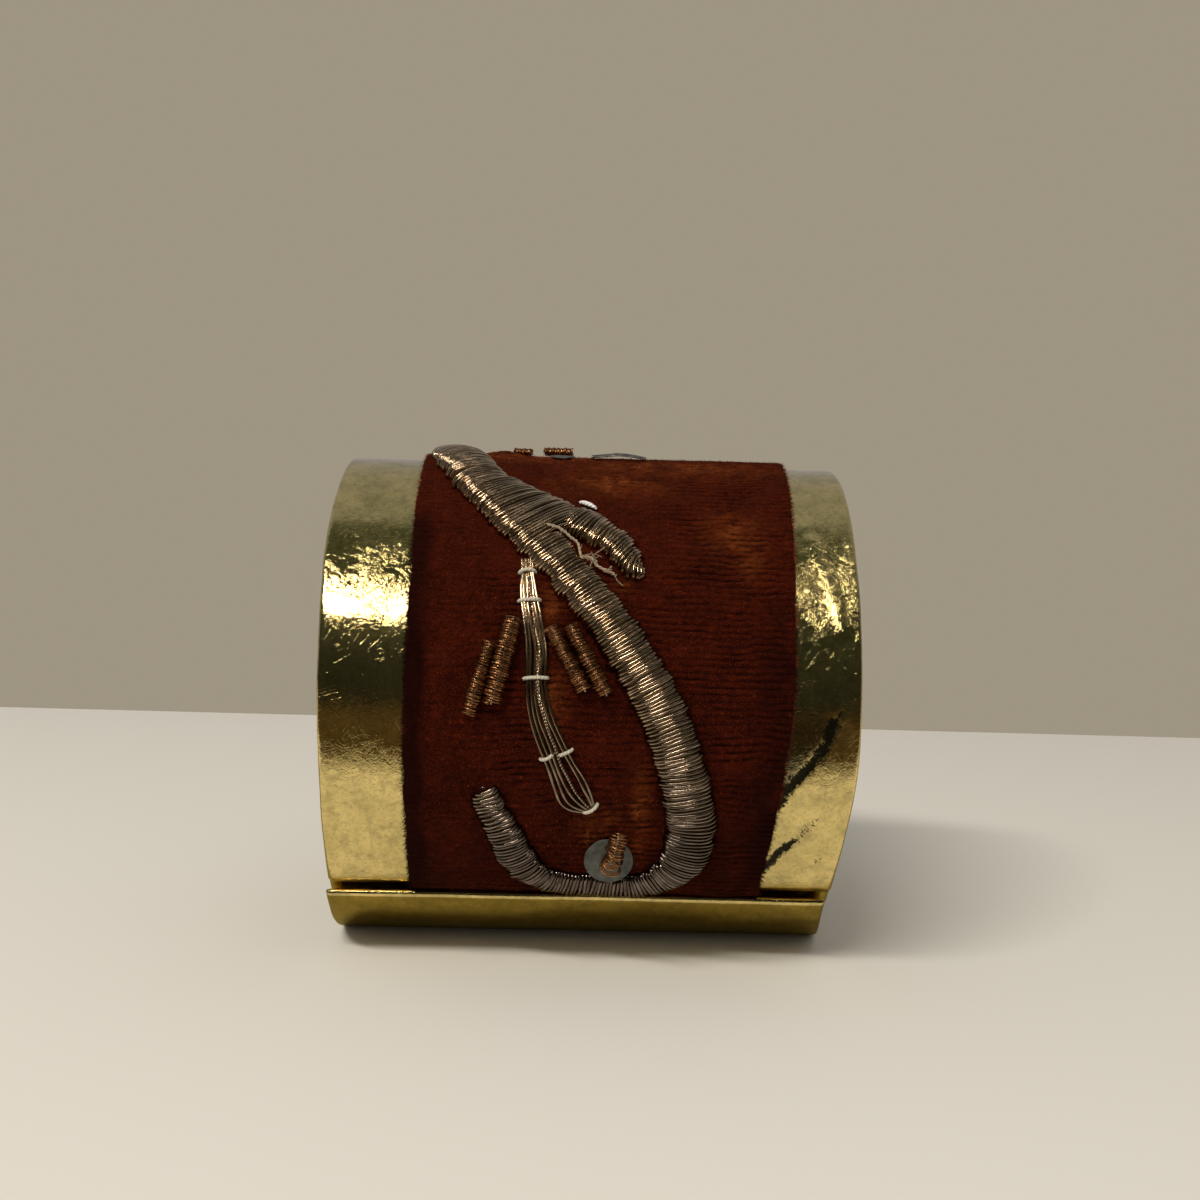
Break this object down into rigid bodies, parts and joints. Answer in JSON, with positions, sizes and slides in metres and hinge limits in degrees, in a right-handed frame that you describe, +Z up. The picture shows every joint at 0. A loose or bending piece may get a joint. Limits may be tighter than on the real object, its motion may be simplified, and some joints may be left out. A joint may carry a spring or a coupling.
{
  "type": "goldwork embroidered brass ring band",
  "caption": "Wide ring of brass sheet with sprung overlapping ends, wrapped in ribbed velvet carrying raised goldwork embroidery, cut purls and a spangle.",
  "frame": {"origin": "centre of the flat foot under the ring, on its lower face", "axes": "+X along the ring's axis to the right as seen from the embroidered front, -Y towards the front, +Z up"},
  "size_m": [0.0504, 0.0508, 0.0506],
  "materials": {
    "brass_sheet": "hand burnished, faintly hammered and scratched",
    "rust_velvet": "short ribbed pile",
    "linen": "plain weave",
    "cotton_padding": "soft loose fibre",
    "silver_thread": "tarnished silver passing thread",
    "copper_purl": "rough coiled copper wire",
    "sewing_thread": "waxed thread",
    "spangle": "matt silvered"
  },
  "bodies": {
    "band": {"band_wall": "brass_sheet", "linen_backing": "linen", "velvet_strip": "rust_velvet", "stem_padding": "cotton_padding", "stem_wrapping": "silver_thread", "leaf_padding": "cotton_padding", "leaf_wrapping": "silver_thread", "cord_strand_1": "silver_thread", "cord_strand_2": "silver_thread", "cord_strand_3": "silver_thread", "cord_strand_4": "silver_thread", "cord_strand_5": "silver_thread", "cord_strand_6": "silver_thread", "couching_stitch_1": "sewing_thread", "couching_stitch_2": "sewing_thread", "couching_stitch_3": "sewing_thread", "couching_stitch_4": "sewing_thread", "couching_stitch_5": "sewing_thread", "couching_stitch_6": "sewing_thread", "purl_1": "copper_purl", "purl_2": "copper_purl", "purl_3": "copper_purl", "purl_4": "copper_purl", "purl_thread_1": "sewing_thread", "purl_thread_2": "sewing_thread", "purl_thread_3": "sewing_thread", "purl_thread_4": "sewing_thread", "sequin_purl": "copper_purl", "sequin_thread": "sewing_thread", "stay_stitch": "sewing_thread", "frayed_thread": "cotton_padding", "crest_purl_1": "copper_purl", "crest_purl_2": "copper_purl", "crest_thread_1": "sewing_thread", "crest_thread_2": "sewing_thread", "crest_sequin": "spangle", "crest_plate": "silver_thread"},
    "lap": {"band_lap": "brass_sheet"},
    "spangle": {"sequin": "spangle"}
  },
  "joints": [
    {"name": "lap_flex", "type": "hinge", "parent": "band", "child": "lap", "pos_m": [0, 0.01519, 0.04272], "axis": [1, 0, 0], "range_deg": [0, 10], "stiffness_Nm_per_rad": 3, "deforming": ["velvet_strip", "linen_backing"]},
    {"name": "sequin_spin", "type": "hinge", "parent": "band", "child": "spangle", "pos_m": [0.00205, -0.02198, 0.0117], "axis": [0, -0.9591, -0.2832], "continuous": true}
  ]
}
